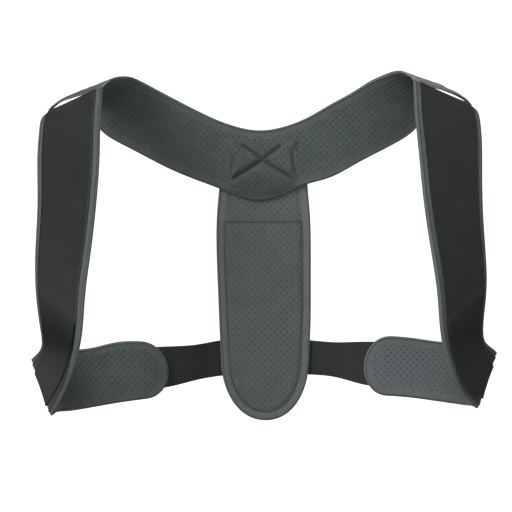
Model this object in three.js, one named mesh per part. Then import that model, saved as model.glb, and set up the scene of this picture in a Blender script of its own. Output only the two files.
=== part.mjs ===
// Posture corrector in its worn shape: a padded neck yoke, two padded shoulder straps that turn under the arms, a spine pad and an elastic strap.
// Millimetres. +X is the wearer's left, +Y is behind the wearer, +Z is up.
// The origin is on the inner face of the yoke, at the middle of its stitched centre.
import * as THREE from "three";

// ---- driving sizes, mm
const GAP = 0.3; // left between neighbouring pieces
const FACING_THICK = 0.8; // black outer cloth of the shoulder straps
const FACING_INSET_FRONT = 5.6; // light edge left bare along the medial edge
const FACING_INSET_SIDE = 4.6; // light edge left bare along the lateral edge
const FACING_INSET_END = 7; // light edge left bare at the under-arm end
const PAD_THICK = 6.4; // spine pad over its pocket
const ELASTIC_THICK = 1.3;
const ELASTIC_SLACK = 0.6; // how far the elastic stands off the cloth it lies on
const STRAP_END_ROUND = 24; // length of the rounded under-arm end
const PAD_END_ROUND = 58; // length of the rounded foot of the spine pad
const END_CURVE = 2.1; // 2 would be an ellipse, more is squarer
const STATION = 12; // distance between cross-sections along a band

const CLOTH_GREY = 0x4b5352;
const CLOTH_BLACK = 0x26292a;
const ELASTIC_BLACK = 0x1e2121;

// ---- tables, mm. A row is one fold or section of a band, with a point on each of its two edges.
const table = (columns, rows) => rows.map((r) => Object.fromEntries(columns.map((c, i) => [c, r[i]])));

// a = upper (neck) edge, b = lower (shoulder) edge; arch = outward bow between them
const YOKE = table(
  ["at", "ax", "ay", "az", "bx", "by", "bz", "arch", "thick"],
  [
    ["rim_r", -137.5, -147, 52, -184.5, -144, 29, 3.6, 2.4],
    ["crest1_r", -137.5, -126, 57.5, -182.5, -121, 35.5, 2.6, 2.6],
    ["crest2_r", -137, -104, 62.5, -180, -98, 42, 1.2, 3],
    ["crest3_r", -134, -82, 67.5, -175.5, -78, 48.5, 0.4, 3.4],
    ["ridge_r", -126, -54, 71, -164.5, -42, 57, 0, 3.8],
    ["fall_r", -119, -40, 71, -162, -20, 50, 0, 4.2],
    ["blade_r", -105.5, -27, 65.5, -157.5, -7, 28.5, 0, 4.4],
    ["arm1_r", -88.5, -16, 57.5, -130.5, -1, 10.5, 0, 4.4],
    ["arm2_r", -64, -8, 45.5, -93, 1, -8.5, 0, 4.4],
    ["arm3_r", -45, -3, 37, -68, 2, -19.5, 0, 4.4],
    ["neck_r", -24, 1, 30, -40.5, 2, -30, 0, 4.4],
    ["nape", -1, 2.2, 27, -1, 2.2, -40.5, 0, 4.4],
    ["neck_l", 22, 1, 31, 36.5, 2, -27, 0, 4.4],
    ["arm3_l", 43, -3, 39, 64.5, 2, -17.5, 0, 4.4],
    ["arm2_l", 62, -8, 49.5, 89.5, 1, -5.5, 0, 4.4],
    ["arm1_l", 85.5, -16, 62, 123, -1, 13, 0, 4.4],
    ["blade_l", 101.5, -27, 71, 149, -7, 31, 0, 4.4],
    ["fall_l", 114.5, -40, 75.5, 153, -20, 52, 0, 4.2],
    ["ridge_l", 121, -54, 76, 156.5, -42, 62.5, 0, 3.8],
    ["crest3_l", 126.5, -82, 72.5, 168, -78, 54.5, 0.4, 3.4],
    ["crest2_l", 128, -104, 67.5, 173, -98, 48.5, 1.4, 3],
    ["crest1_l", 128, -126, 63, 175.5, -121, 41.5, 2.8, 2.6],
    ["rim_l", 127.5, -147, 57.5, 177.5, -144, 35, 4.2, 2.4],
  ],
);

// a = medial edge, which becomes the lower one under the arm; b = lateral edge, which becomes the upper one
const STRAP_COLUMNS = ["at", "ax", "ay", "az", "bx", "by", "bz", "arch", "thick"];
const STRAP_RIGHT = table(STRAP_COLUMNS, [
  ["top", -138, -150, 49.5, -184, -146, 27.5, 0, 4.4],
  ["collar", -138, -154, 40, -189.5, -148.5, 24.5, 0, 4.4],
  ["chest1", -138.5, -158, 30.5, -190.5, -151, 14.5, 0, 4.4],
  ["chest2", -138.5, -168, -4.5, -192, -157, -12, 0, 4.4],
  ["chest3", -140.5, -175, -47, -192.5, -159, -50.5, 0, 4.4],
  ["chest4", -145, -178, -89, -195, -153, -89, 0, 4.4],
  ["chest5", -150, -178, -126.5, -195.5, -146, -125, 0, 4.4],
  ["waist", -153.5, -172, -159, -193.5, -135, -154, 0, 4.4],
  ["turn1", -158, -164, -178, -193, -126, -169, 0, 4.4],
  ["turn2", -165, -152, -197.5, -196.5, -117, -177, 0, 4.4],
  ["turn3", -175.5, -134, -217, -202.5, -109, -182.5, -1, 3.8],
  ["fold", -186, -116, -233.5, -206, -103, -185, -2.2, 3.4],
  ["side1", -187, -98, -235, -206.5, -88, -185, -2.2, 3.4],
  ["side2", -183.5, -69, -236, -198, -59, -183, -1, 4],
  ["side3", -172.5, -40, -237.5, -181.5, -35, -182, 0, 4.4],
  ["back1", -154, -25, -235.5, -161.5, -22, -180.5, 0, 4.4],
  ["back2", -131, -15, -232.5, -138, -14, -175.5, 0, 4.4],
  ["back3", -109.5, -10.5, -230, -116.5, -10.5, -175, 0, 4.4],
  ["end", -87, -7.5, -227, -94, -7.5, -175, 0, 4.4],
]);
const STRAP_LEFT = table(STRAP_COLUMNS, [
  ["top", 128, -150, 55.5, 177, -146, 33.5, 0, 4.4],
  ["collar", 128, -154, 44.5, 183, -148.5, 30, 0, 4.4],
  ["chest1", 128, -158, 34.5, 183, -151, 19, 0, 4.4],
  ["chest2", 130.5, -168, -4.5, 184.5, -157, -10.5, 0, 4.4],
  ["chest3", 134, -175, -47, 186, -159, -49, 0, 4.4],
  ["chest4", 140, -178, -89, 189, -153, -87, 0, 4.4],
  ["chest5", 145.5, -178, -126.5, 191, -146, -123, 0, 4.4],
  ["waist", 149, -172, -158, 190, -135, -150.5, 0, 4.4],
  ["turn1", 153.5, -164, -176, 191.5, -126, -164, 0, 4.4],
  ["turn2", 161.5, -152, -196, 196, -117, -171, 0, 4.4],
  ["turn3", 174, -134, -215.5, 203, -109, -176, -1, 3.8],
  ["fold", 187, -116, -227.5, 207, -103, -179, -2.2, 3.4],
  ["side1", 188.5, -98, -229, 207, -88, -178.5, -2.2, 3.4],
  ["side2", 186.5, -69, -230.5, 199, -59, -177.5, -1, 4],
  ["side3", 176, -40, -231.5, 183.5, -35, -176, 0, 4.4],
  ["back1", 157, -25, -230, 164, -22, -174.5, 0, 4.4],
  ["back2", 134.5, -15, -228, 140.5, -14, -171.5, 0, 4.4],
  ["back3", 113.5, -10.5, -227, 118, -10.5, -170, 0, 4.4],
  ["end", 94.5, -7.5, -226, 98, -7.5, -170, 0, 4.4],
]);

// a = the wearer's right edge, b = the wearer's left edge
const SPINE_PAD = table(
  ["at", "ax", "ay", "az", "bx", "by", "bz"],
  [
    ["top", -39.5, 8.2, 6.5, 41.5, 8.2, 6.5],
    ["tuck", -42.5, 8.4, -30.5, 43.5, 8.4, -30.5],
    ["shoulder", -44.5, 9.4, -53.5, 45.5, 9.4, -53.5],
    ["ribs1", -45, 11, -88, 46.5, 11, -88],
    ["ribs2", -43.5, 11.4, -129, 46.5, 11.4, -129],
    ["ribs3", -42, 10.2, -165.5, 46, 10.2, -165.5],
    ["low", -41, 9.4, -187, 45, 9.4, -187],
    ["end", -39.5, 6, -252.5, 44.5, 6, -252],
  ],
);

// share of the strap's width, from its a edge, that the elastic strap covers at each section, and where that section is
const ELASTIC_ON_STRAP = table(
  ["at", "lower", "upper"],
  [
    ["turn1", 0.18, 0.86],
    ["turn2", 0.18, 0.84],
    ["turn3", 0.18, 0.8],
    ["fold", 0.18, 0.76],
    ["side1", 0.18, 0.76],
    ["side2", 0.18, 0.78],
    ["side3", 0.18, 0.81],
    ["back1", 0.19, 0.84],
    ["back2", 0.18, 0.86],
    ["back3", 0.16, 0.88],
    ["end", 0.15, 0.89],
  ],
);
// front end of the elastic, cut on a slant: how far before the section "turn1" each edge ends, mm
const ELASTIC_END = { lower: 29, upper: 52 };
// the elastic behind the wearer, from the right pad to the left pad
const ELASTIC_BACK = table(
  ["at", "x", "y", "lower", "upper"],
  [
    ["right_free", -66, 5, -214, -179.5],
    ["right_edge", -43, 14, -210.5, -176],
    ["right_of_spine", -22, 16.4, -209, -174],
    ["spine", 1, 16.8, -208.5, -173.5],
    ["left_of_spine", 24, 16.4, -208.5, -174],
    ["left_edge", 45, 14, -209, -175.5],
    ["left_free", 71, 5, -211, -177],
  ],
);

// ---- cross-sections: w runs from edge a (0) to edge b (1), half is the share of the half thickness there
const SECTION_STRAP = table(["w", "half"], [[0, 0.4], [0.03, 0.74], [0.1, 0.86], [0.22, 1], [0.5, 1], [0.78, 1], [0.9, 0.86], [0.97, 0.74], [1, 0.4]]);
const SECTION_PAD = table(["w", "half"], [[0, 0.26], [0.02, 0.46], [0.085, 0.5], [0.14, 0.92], [0.33, 1], [0.67, 1], [0.86, 0.92], [0.915, 0.5], [0.98, 0.46], [1, 0.26]]);
const SECTION_FLAT = table(["w", "half"], [[0, 1], [0.22, 1], [0.5, 1], [0.78, 1], [1, 1]]);

// ---- geometry
// Natural cubic spline through (x, y).
function spline(x, y) {
  const n = x.length, m = new Array(n).fill(0), c = new Array(n).fill(0), d = new Array(n).fill(0);
  for (let i = 1; i < n - 1; i++) {
    const h0 = x[i] - x[i - 1], h1 = x[i + 1] - x[i];
    const r = 6 * ((y[i + 1] - y[i]) / h1 - (y[i] - y[i - 1]) / h0), p = 2 * (h0 + h1) - h0 * c[i - 1];
    c[i] = h1 / p;
    d[i] = (r - h0 * d[i - 1]) / p;
  }
  for (let i = n - 2; i > 0; i--) m[i] = d[i] - c[i] * m[i + 1];
  return (t) => {
    let i = 0;
    while (i < n - 2 && t > x[i + 1]) i++;
    const h = x[i + 1] - x[i], a = (x[i + 1] - t) / h, b = (t - x[i]) / h;
    return a * y[i] + b * y[i + 1] + (((a * a * a - a) * m[i] + (b * b * b - b) * m[i + 1]) * h * h) / 6;
  };
}

// Adds the outward normal to a surface given as base(s, w). side is 1 or -1.
function withNormal(base, side) {
  return (s, w) => {
    const e = 0.4, f = 0.004;
    const along = base(s + e, w).sub(base(s - e, w)), across = base(s, w + f).sub(base(s, w - f));
    return along.cross(across).multiplyScalar(side).normalize();
  };
}

// A band between two edges. s is the distance along it, w goes across it.
function band(rows, side, roundEnd = 0) {
  const A = rows.map((r) => new THREE.Vector3(r.ax, r.ay, r.az)), B = rows.map((r) => new THREE.Vector3(r.bx, r.by, r.bz));
  const s = [0];
  for (let i = 1; i < rows.length; i++) s.push(s[i - 1] + (A[i].distanceTo(A[i - 1]) + B[i].distanceTo(B[i - 1])) / 2);
  const length = s[s.length - 1];
  const curve = (points) => {
    const [fx, fy, fz] = ["x", "y", "z"].map((k) => spline(s, points.map((p) => p[k])));
    return (t) => new THREE.Vector3(fx(t), fy(t), fz(t));
  };
  const edgeA = curve(A), edgeB = curve(B);
  const arch = spline(s, rows.map((r) => r.arch || 0)), thick = spline(s, rows.map((r) => r.thick || 0));
  const narrow = (t) => {
    const q = roundEnd ? Math.min(Math.max((t - (length - roundEnd)) / roundEnd, 0), 0.985) : 0;
    return (1 - q ** END_CURVE) ** (1 / END_CURVE);
  };
  const plain = (t, w) => edgeA(t).lerp(edgeB(t), w);
  const plainNormal = withNormal(plain, side);
  const full = (t, w) => plain(t, w).addScaledVector(plainNormal(t, w), arch(t) * 4 * w * (1 - w));
  const point = (t, w) => full(t, 0.5 + (w - 0.5) * narrow(t));
  const fullNormal = withNormal(full, side);
  const normal = (t, w) => fullNormal(t, 0.5 + (w - 0.5) * narrow(t));
  const width = (t) => edgeA(t).distanceTo(edgeB(t)) * narrow(t);
  return { point, normal, width, thick, length, roundEnd, stationAt: (name) => s[rows.findIndex((r) => r.at === name)] };
}

// Distances along a band at which it is cut into sections, closer together in the rounded end, which stops inset short.
function stations(length, roundEnd, inset = 0) {
  const straight = length - roundEnd, count = Math.ceil(straight / STATION), list = [];
  for (let i = 0; i <= count; i++) list.push((straight * i) / count);
  if (roundEnd) for (const turn of [0.25, 0.45, 0.62, 0.77, 0.89, 1]) list.push(straight + (roundEnd - inset) * Math.sin((turn * Math.PI) / 2));
  return list;
}

// Closed solid from two grids of points, outer[i][k] and inner[i][k].
function shell(outer, inner) {
  const n = outer.length, m = outer[0].length, position = [], index = [];
  for (const grid of [outer, inner]) for (const line of grid) for (const p of line) position.push(p.x, p.y, p.z);
  const o = (i, k) => i * m + k, u = (i, k) => n * m + i * m + k;
  const quad = (a, b, c, d) => index.push(a, b, c, a, c, d);
  for (let i = 0; i < n - 1; i++) {
    for (let k = 0; k < m - 1; k++) {
      quad(o(i, k), o(i + 1, k), o(i + 1, k + 1), o(i, k + 1));
      quad(u(i, k), u(i, k + 1), u(i + 1, k + 1), u(i + 1, k));
    }
    quad(o(i, 0), u(i, 0), u(i + 1, 0), o(i + 1, 0));
    quad(o(i, m - 1), o(i + 1, m - 1), u(i + 1, m - 1), u(i, m - 1));
  }
  for (let k = 0; k < m - 1; k++) {
    quad(o(0, k), o(0, k + 1), u(0, k + 1), u(0, k));
    quad(o(n - 1, k), u(n - 1, k), u(n - 1, k + 1), o(n - 1, k + 1));
  }
  let volume = 0;
  const at = (j) => new THREE.Vector3(position[3 * j], position[3 * j + 1], position[3 * j + 2]);
  for (let i = 0; i < index.length; i += 3) volume += at(index[i]).dot(at(index[i + 1]).cross(at(index[i + 2])));
  if (volume < 0) for (let i = 0; i < index.length; i += 3) [index[i + 1], index[i + 2]] = [index[i + 2], index[i + 1]];
  const geometry = new THREE.BufferGeometry();
  geometry.setAttribute("position", new THREE.Float32BufferAttribute(position, 3));
  geometry.setIndex(index);
  geometry.computeVertexNormals();
  return geometry;
}

// Padded solid around a band's middle surface.
function padded(surface, section, thickAt) {
  const outer = [], inner = [];
  for (const s of stations(surface.length, surface.roundEnd)) {
    const line = section.map(({ w, half }) => ({ p: surface.point(s, w), n: surface.normal(s, w), h: (half * thickAt(s)) / 2 }));
    outer.push(line.map(({ p, n, h }) => p.clone().addScaledVector(n, h)));
    inner.push(line.map(({ p, n, h }) => p.clone().addScaledVector(n, -h)));
  }
  return shell(outer, inner);
}

// Thin cloth on the outer side of a strap, set in from its edges.
function facing(strap) {
  const outer = [], inner = [], start = strap.length - strap.roundEnd;
  for (const s of stations(strap.length, strap.roundEnd, FACING_INSET_END)) {
    const q = Math.min(Math.max((s - start) / (strap.roundEnd - FACING_INSET_END), 0), 0.985);
    const width = strap.width(s), share = ((1 - q ** END_CURVE) ** (1 / END_CURVE) * strap.width(Math.min(s, start))) / width;
    const low = strap.thick(s) / 2 + GAP;
    const from = FACING_INSET_FRONT / width, to = 1 - FACING_INSET_SIDE / width;
    const line = SECTION_FLAT.map(({ w: k }) => {
      const w = 0.5 + (from + (to - from) * k - 0.5) * share;
      return { p: strap.point(s, w), n: strap.normal(s, w) };
    });
    outer.push(line.map(({ p, n }) => p.clone().addScaledVector(n, low + FACING_THICK)));
    inner.push(line.map(({ p, n }) => p.clone().addScaledVector(n, low)));
  }
  return shell(outer, inner);
}

// Elastic strap: it lies on the outside of both straps and crosses behind the spine pad.
function elasticStrap(right, left) {
  const across = SECTION_FLAT.map((c) => c.w), lift = GAP + FACING_THICK + GAP + ELASTIC_THICK / 2 + ELASTIC_SLACK;
  const onStrap = (strap) => {
    const lines = [], first = strap.stationAt("turn1"), share = ELASTIC_ON_STRAP[0];
    for (const back of [1, 0.5]) {
      lines.push(across.map((k) => {
        const s = first - back * (ELASTIC_END.lower + (ELASTIC_END.upper - ELASTIC_END.lower) * k), w = share.lower + (share.upper - share.lower) * k;
        return strap.point(s, w).addScaledVector(strap.normal(s, w), strap.thick(s) / 2 + lift);
      }));
    }
    for (const row of ELASTIC_ON_STRAP) {
      const s = row.at === "end" ? strap.length - STRAP_END_ROUND * 0.5 : strap.stationAt(row.at);
      lines.push(across.map((k) => {
        const w = row.lower + (row.upper - row.lower) * k;
        return strap.point(s, w).addScaledVector(strap.normal(s, w), strap.thick(s) / 2 + lift);
      }));
    }
    return lines;
  };
  const behind = ELASTIC_BACK.map((r) => across.map((k) => new THREE.Vector3(r.x, r.y, r.lower + (r.upper - r.lower) * k)));
  const lines = [...onStrap(right), ...behind, ...onStrap(left).reverse()];
  const s = [0];
  for (let i = 1; i < lines.length; i++) s.push(s[i - 1] + lines[i][2].distanceTo(lines[i - 1][2]));
  const tracks = across.map((_, k) => ["x", "y", "z"].map((c) => spline(s, lines.map((l) => l[k][c]))));
  const point = (t, w) => {
    const f = Math.min(Math.max(w, 0), 1), k = Math.max(0, Math.min(across.length - 2, across.findIndex((a) => a > f) - 1 < 0 ? across.length - 2 : across.findIndex((a) => a > f) - 1));
    const share = (w - across[k]) / (across[k + 1] - across[k]);
    const at = (j) => new THREE.Vector3(...tracks[j].map((g) => g(t)));
    return at(k).lerp(at(k + 1), share);
  };
  return { point, normal: withNormal(point, 1), length: s[s.length - 1], roundEnd: 0 };
}

const rightStrap = band(STRAP_RIGHT, -1, STRAP_END_ROUND);
const leftStrap = band(STRAP_LEFT, 1, STRAP_END_ROUND);
const yoke = band(YOKE, 1);
const spine = band(SPINE_PAD, -1, PAD_END_ROUND);
const elastic = elasticStrap(rightStrap, leftStrap);

const part = new THREE.Group();
part.name = "posture_corrector";
function add(name, geometry, color, roughness) {
  const mesh = new THREE.Mesh(geometry, new THREE.MeshStandardMaterial({ color, roughness, metalness: 0 }));
  mesh.name = name;
  part.add(mesh);
}

add("neck_yoke", padded(yoke, SECTION_STRAP, yoke.thick), CLOTH_GREY, 0.9);
add("spine_pad", padded(spine, SECTION_PAD, () => PAD_THICK), CLOTH_GREY, 0.9);
add("shoulder_strap_right", padded(rightStrap, SECTION_STRAP, rightStrap.thick), CLOTH_GREY, 0.9);
add("shoulder_strap_left", padded(leftStrap, SECTION_STRAP, leftStrap.thick), CLOTH_GREY, 0.9);
add("strap_facing_right", facing(rightStrap), CLOTH_BLACK, 0.95);
add("strap_facing_left", facing(leftStrap), CLOTH_BLACK, 0.95);
add("elastic_strap", padded(elastic, SECTION_FLAT, () => ELASTIC_THICK), ELASTIC_BLACK, 0.85);

export default part;
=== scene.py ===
# Posture corrector, visual model. Everything is worked out in millimetres in the CAD frame and written in metres.
# +X is the wearer's left, +Y is behind the wearer, +Z is up. The origin is the inner face of the yoke at its stitched centre.
import math

import bpy
import numpy as np
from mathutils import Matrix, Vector
from mathutils.geometry import delaunay_2d_cdt


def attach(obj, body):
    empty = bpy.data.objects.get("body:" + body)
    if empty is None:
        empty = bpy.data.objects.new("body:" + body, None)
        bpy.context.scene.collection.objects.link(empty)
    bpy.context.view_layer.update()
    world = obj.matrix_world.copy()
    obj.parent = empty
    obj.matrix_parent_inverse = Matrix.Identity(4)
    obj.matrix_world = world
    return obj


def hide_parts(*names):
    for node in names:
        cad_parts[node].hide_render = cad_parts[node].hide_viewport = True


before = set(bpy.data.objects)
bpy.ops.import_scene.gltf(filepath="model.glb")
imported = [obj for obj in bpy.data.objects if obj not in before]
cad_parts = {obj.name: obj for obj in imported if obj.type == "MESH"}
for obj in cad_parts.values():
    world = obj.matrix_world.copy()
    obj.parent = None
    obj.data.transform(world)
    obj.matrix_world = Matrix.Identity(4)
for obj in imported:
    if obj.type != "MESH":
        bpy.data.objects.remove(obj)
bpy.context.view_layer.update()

MM = 0.001
rng = np.random.default_rng(7)

# ---------------------------------------------------------------- sizes, mm
PITCH = 6.25  # perforation pitch; every second row is shifted by half
HOLE_R = 0.55
HOLE_DEPTH = 1.3
HOLE_SIDES = 8
BORDER = 8.0  # smooth edge with no perforations
FACING_FRONT, FACING_SIDE, FACING_END = 5.6, 4.6, 7.0
STRAP_ROUND, PAD_ROUND = 24.0, 58.0
END_CURVE = 2.1

# ---------------------------------------------------------------- tables, mm: two edges of each band
YOKE = [
    # at, a: upper edge x y z, b: lower edge x y z, arch, thick
    ("rim_r", -137.8, -149.6, 50.6, -186, -147, 26.4, 5.8, 1.6),
    ("crest1_r", -137.5, -126, 56.8, -182.5, -121, 36.8, 3.4, 1.8),
    ("crest2_r", -137, -104, 61.8, -180, -98, 44.5, 0.2, 2.2),
    ("crest3_r", -134, -82, 66.8, -175.5, -78, 50.3, -1.2, 2.6),
    ("ridge_r", -126, -54, 71, -164.5, -42, 58.8, 0, 3.8),
    ("fall_r", -119, -40, 71, -162, -20, 50, 0, 4.2),
    ("blade_r", -105.5, -27, 65.5, -157.5, -7, 29.4, 0, 4.4),
    ("arm1_r", -88.5, -16, 57.5, -130.5, -1, 10.6, 0, 4.4),
    ("arm2_r", -64, -8, 45.5, -93, 1, -8.8, 0, 4.4),
    ("arm3_r", -45, -3, 37, -68, 2, -19.5, 0, 4.4),
    ("neck_r", -24, 1, 30, -40.5, 2, -30, 0, 4.4),
    ("nape", -1, 2.2, 27, -1, 2.2, -40.5, 0, 4.4),
    ("neck_l", 22, 1, 31, 36.5, 2, -27, 0, 4.4),
    ("arm3_l", 43, -3, 39, 64.5, 2, -18.6, 0, 4.4),
    ("arm2_l", 62, -8, 49.5, 89.5, 1, -5.5, 0, 4.4),
    ("arm1_l", 85.5, -16, 62, 123, -1, 12, 0, 4.4),
    ("blade_l", 101.5, -27, 71, 149, -7, 31.8, 0, 4.4),
    ("fall_l", 114.5, -40, 75.5, 153, -20, 52, 0, 4.2),
    ("ridge_l", 121, -54, 76, 156.5, -42, 64.2, 0, 3.8),
    ("crest3_l", 126.5, -82, 71.8, 168, -78, 57, -1.3, 2.6),
    ("crest2_l", 128, -104, 66.8, 173, -98, 49, 0.8, 2.2),
    ("crest1_l", 128, -126, 63, 175.5, -121, 42, 3.4, 1.8),
    ("rim_l", 127.8, -149.6, 56.4, 179, -147, 32.4, 5.6, 1.6),
]
STRAP_RIGHT = [
    # at, a: medial edge, lower under the arm, b: lateral edge, upper under the arm, arch, thick
    ("top", -138, -150, 51.5, -185, -146.6, 27.5, 0, 4.4),
    ("collar", -138, -154, 41, -190.2, -148.5, 24.5, 0, 4.4),
    ("chest1", -138.5, -158, 30.5, -192.2, -151, 14.5, 0, 4.4),
    ("chest2", -138.5, -168, -4.5, -193, -157, -12, 0, 4.4),
    ("chest3", -140.5, -175, -47, -192.5, -159, -50.5, 0, 4.4),
    ("chest4", -145, -178, -89, -195, -153, -89, 0, 4.4),
    ("chest5", -150, -178, -126.5, -195.5, -146, -125, 0, 4.4),
    ("waist", -153.5, -172, -159, -193.5, -135, -154, 0, 4.4),
    ("turn1", -158, -164, -178, -193, -126, -169, 0, 4.4),
    ("turn2", -165, -152, -197.5, -196.5, -117, -177, 0, 4.4),
    ("turn3", -175.5, -134, -217, -202.5, -109, -182.5, -1, 3.8),
    ("fold", -186, -116, -233.5, -206, -103, -185, -2.2, 3.4),
    ("side1", -187, -98, -235, -206.5, -88, -185, -2.2, 3.4),
    ("side2", -183.5, -69, -236, -198, -59, -183, -1, 4),
    ("side3", -172.5, -40, -237.5, -181.5, -35, -182, 0, 4.4),
    ("back1", -154, -25, -235.5, -161.5, -22, -180.5, 0, 4.4),
    ("back2", -131, -15, -232.5, -138, -14, -175.5, 0, 4.4),
    ("back3", -109.5, -10.5, -230, -116.5, -10.5, -175, 0, 4.4),
    ("end", -87, -7.5, -227, -94, -7.5, -175, 0, 4.4),
]
STRAP_LEFT = [
    ("top", 128, -150, 57.5, 178, -146.6, 33.5, 0, 4.4),
    ("collar", 128, -154, 45.5, 183.2, -148.5, 30, 0, 4.4),
    ("chest1", 128, -158, 34.5, 185.5, -151, 19, 0, 4.4),
    ("chest2", 130.5, -168, -4.5, 186, -157, -10.5, 0, 4.4),
    ("chest3", 134, -175, -47, 186, -159, -49, 0, 4.4),
    ("chest4", 140, -178, -89, 189, -153, -87, 0, 4.4),
    ("chest5", 145.5, -178, -126.5, 191, -146, -123, 0, 4.4),
    ("waist", 149, -172, -158, 190, -135, -150.5, 0, 4.4),
    ("turn1", 153.5, -164, -176, 191.5, -126, -164, 0, 4.4),
    ("turn2", 161.5, -152, -196, 196, -117, -171, 0, 4.4),
    ("turn3", 174, -134, -215.5, 203, -109, -176, -1, 3.8),
    ("fold", 187, -116, -227.5, 207, -103, -179, -2.2, 3.4),
    ("side1", 188.5, -98, -229, 207, -88, -178.5, -2.2, 3.4),
    ("side2", 186.5, -69, -230.5, 199, -59, -177.5, -1, 4),
    ("side3", 176, -40, -231.5, 183.5, -35, -176, 0, 4.4),
    ("back1", 157, -25, -230, 164, -22, -174.5, 0, 4.4),
    ("back2", 134.5, -15, -228, 140.5, -14, -171.5, 0, 4.4),
    ("back3", 113.5, -10.5, -227, 118, -10.5, -170, 0, 4.4),
    ("end", 94.5, -7.5, -226, 98, -7.5, -170, 0, 4.4),
]
SPINE_PAD = [
    ("top", -39.5, 8.2, 6.5, 41.5, 8.2, 6.5, 0, 6.4),
    ("tuck", -42.5, 8.4, -30.5, 43.5, 8.4, -30.5, 0, 6.4),
    ("shoulder", -44.5, 9.4, -53.5, 45.5, 9.4, -53.5, 0, 6.4),
    ("ribs1", -45, 11, -88, 46.5, 11, -88, 0, 6.4),
    ("ribs2", -43.5, 11.4, -129, 46.5, 11.4, -129, 0, 6.4),
    ("ribs3", -42, 10.2, -165.5, 46, 10.2, -165.5, 0, 6.4),
    ("low", -41, 9.4, -187, 45, 9.4, -187, 0, 6.4),
    ("end", -39.5, 6, -252.5, 44.5, 6, -252.5, 0, 6.4),
]
# share of the strap's width that the elastic covers at each section
ELASTIC_ON_STRAP = [
    ("turn1", 0.11, 0.86),
    ("turn2", 0.12, 0.84),
    ("turn3", 0.145, 0.80),
    ("fold", 0.17, 0.76),
    ("side1", 0.18, 0.76),
    ("side2", 0.18, 0.78),
    ("side3", 0.18, 0.81),
    ("back1", 0.19, 0.84),
    ("back2", 0.18, 0.86),
    ("back3", 0.16, 0.88),
    ("end", 0.15, 0.89),
]
ELASTIC_END = (29.0, 52.0)
ELASTIC_BACK = [
    # at, x, y, lower z, upper z
    ("right_free", -66, 5, -214, -179.5),
    ("right_edge", -43, 14, -210.5, -176),
    ("right_of_spine", -22, 16.4, -209, -174),
    ("spine", 1, 16.8, -208.5, -173.5),
    ("left_of_spine", 24, 16.4, -208.5, -174),
    ("left_edge", 45, 14, -209, -175.5),
    ("left_free", 71, 5, -211, -177),
]


# ---------------------------------------------------------------- surfaces
def spline(x, y):
    """Natural cubic spline through (x, y); y may have several columns."""
    x, y = np.asarray(x, float), np.asarray(y, float)
    flat = y.ndim == 1
    if flat:
        y = y[:, None]
    n, h = len(x), np.diff(x)
    a, b = np.zeros((n, n)), np.zeros((n, y.shape[1]))
    a[0, 0] = a[-1, -1] = 1
    for i in range(1, n - 1):
        a[i, i - 1], a[i, i], a[i, i + 1] = h[i - 1], 2 * (h[i - 1] + h[i]), h[i]
        b[i] = 6 * ((y[i + 1] - y[i]) / h[i] - (y[i] - y[i - 1]) / h[i - 1])
    m = np.linalg.solve(a, b)

    def f(t):
        t = np.atleast_1d(np.asarray(t, float))
        i = np.clip(np.searchsorted(x, t, side="right") - 1, 0, n - 2)
        hh, p, q = h[i][:, None], (x[i + 1] - t)[:, None], (t - x[i])[:, None]
        out = m[i] * (p**3 / (6 * hh) - hh * p / 6) + m[i + 1] * (q**3 / (6 * hh) - hh * q / 6) + (y[i] * p + y[i + 1] * q) / hh
        return out[:, 0] if flat else out

    return f


def unit(v):
    return v / np.maximum(np.linalg.norm(v, axis=-1, keepdims=True), 1e-12)


def place(p, q, rp, rq, hint):
    """The point rp from p and rq from q, on the side that hint is nearest."""
    d = np.linalg.norm(q - p)
    u = (q - p) / d
    along = (rp * rp - rq * rq + d * d) / (2 * d)
    up = math.sqrt(max(rp * rp - along * along, 0))
    v = np.array([-u[1], u[0]])
    c = p + u * along
    return min((c + v * up, c - v * up), key=lambda r: np.linalg.norm(r - hint))


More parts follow.
